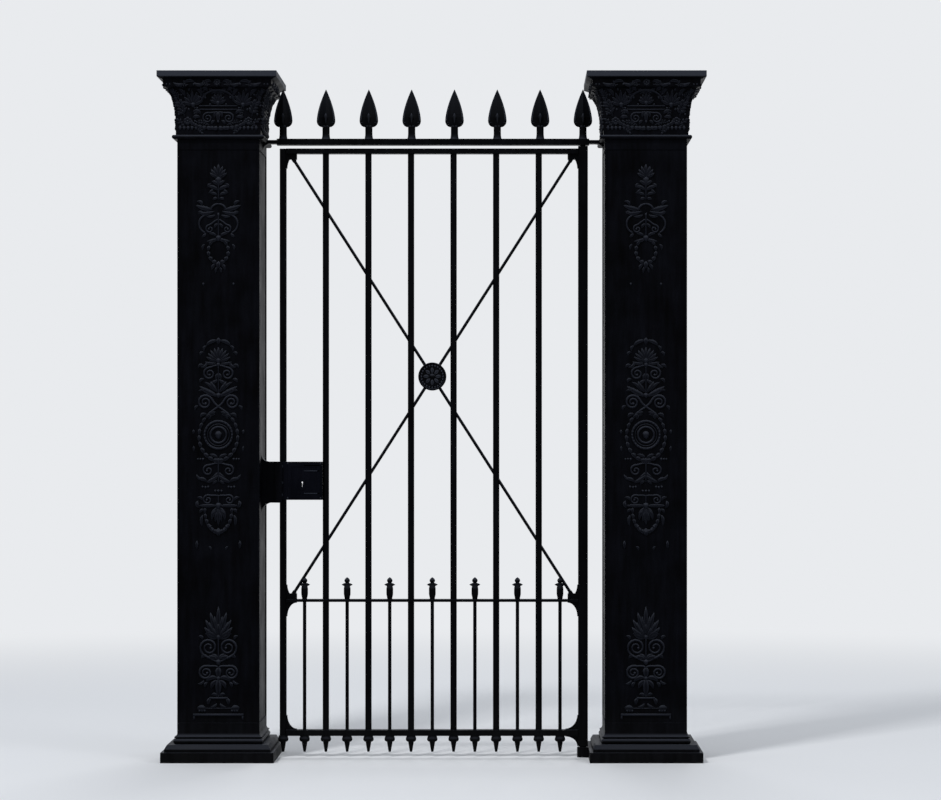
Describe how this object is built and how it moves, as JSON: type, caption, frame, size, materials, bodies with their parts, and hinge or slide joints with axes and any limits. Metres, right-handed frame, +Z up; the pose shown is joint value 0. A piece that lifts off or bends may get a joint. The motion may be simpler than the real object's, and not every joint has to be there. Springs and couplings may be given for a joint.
{
  "type": "wrought iron gate with cast iron piers",
  "caption": "Tall single-leaf iron gate with a diagonal brace and centre boss, hung on pivots between two square cast piers, under a fixed bar of spearheads.",
  "frame": {"origin": "centre of the flat underside of the hinge pier's plinth, at ground level", "axes": "+X along the gate, from the latch pier towards the hinge pier; +Y through the gate, the way the leaf opens; +Z up"},
  "size_m": [2.461, 0.536, 3.101],
  "materials": {
    "painted_cast_iron": "black oil paint, satin, over a sand-cast surface",
    "painted_wrought_iron": "black oil paint, satin to gloss, over forged bar",
    "painted_lock_iron": "black oil paint worn thin on a plate lock"
  },
  "bodies": {
    "gateway": {"hinge_plinth": "painted_cast_iron", "hinge_base_moulding": "painted_cast_iron", "hinge_shaft": "painted_cast_iron", "hinge_necking": "painted_cast_iron", "hinge_bell": "painted_cast_iron", "hinge_cap": "painted_cast_iron", "latch_plinth": "painted_cast_iron", "latch_base_moulding": "painted_cast_iron", "latch_shaft": "painted_cast_iron", "latch_necking": "painted_cast_iron", "latch_bell": "painted_cast_iron", "latch_cap": "painted_cast_iron", "keep": "painted_cast_iron", "foot_socket": "painted_cast_iron", "lintel": "painted_wrought_iron", "spearheads": "painted_wrought_iron"},
    "leaf": {"heel_stile": "painted_wrought_iron", "latch_stile": "painted_wrought_iron", "top_rail": "painted_wrought_iron", "middle_rail": "painted_wrought_iron", "bottom_rail": "painted_wrought_iron", "bar_1": "painted_wrought_iron", "bar_2": "painted_wrought_iron", "bar_3": "painted_wrought_iron", "bar_4": "painted_wrought_iron", "bar_5": "painted_wrought_iron", "bar_6": "painted_wrought_iron", "dog_bars": "painted_wrought_iron", "rod_upper_latch": "painted_wrought_iron", "rod_upper_heel": "painted_wrought_iron", "rod_lower_latch": "painted_wrought_iron", "rod_lower_heel": "painted_wrought_iron", "centre_boss": "painted_wrought_iron", "top_corner_plates": "painted_wrought_iron", "middle_corner_plates": "painted_wrought_iron", "bottom_corner_plates": "painted_wrought_iron", "lock_case": "painted_lock_iron", "lock_cover": "painted_lock_iron", "escutcheon": "painted_lock_iron"}
  },
  "joints": [
    {"name": "leaf_swing", "type": "hinge", "parent": "gateway", "child": "leaf", "pos_m": [-0.279, 0, 0.03], "axis": [0, 0, -1], "range_deg": [0, 90]}
  ]
}
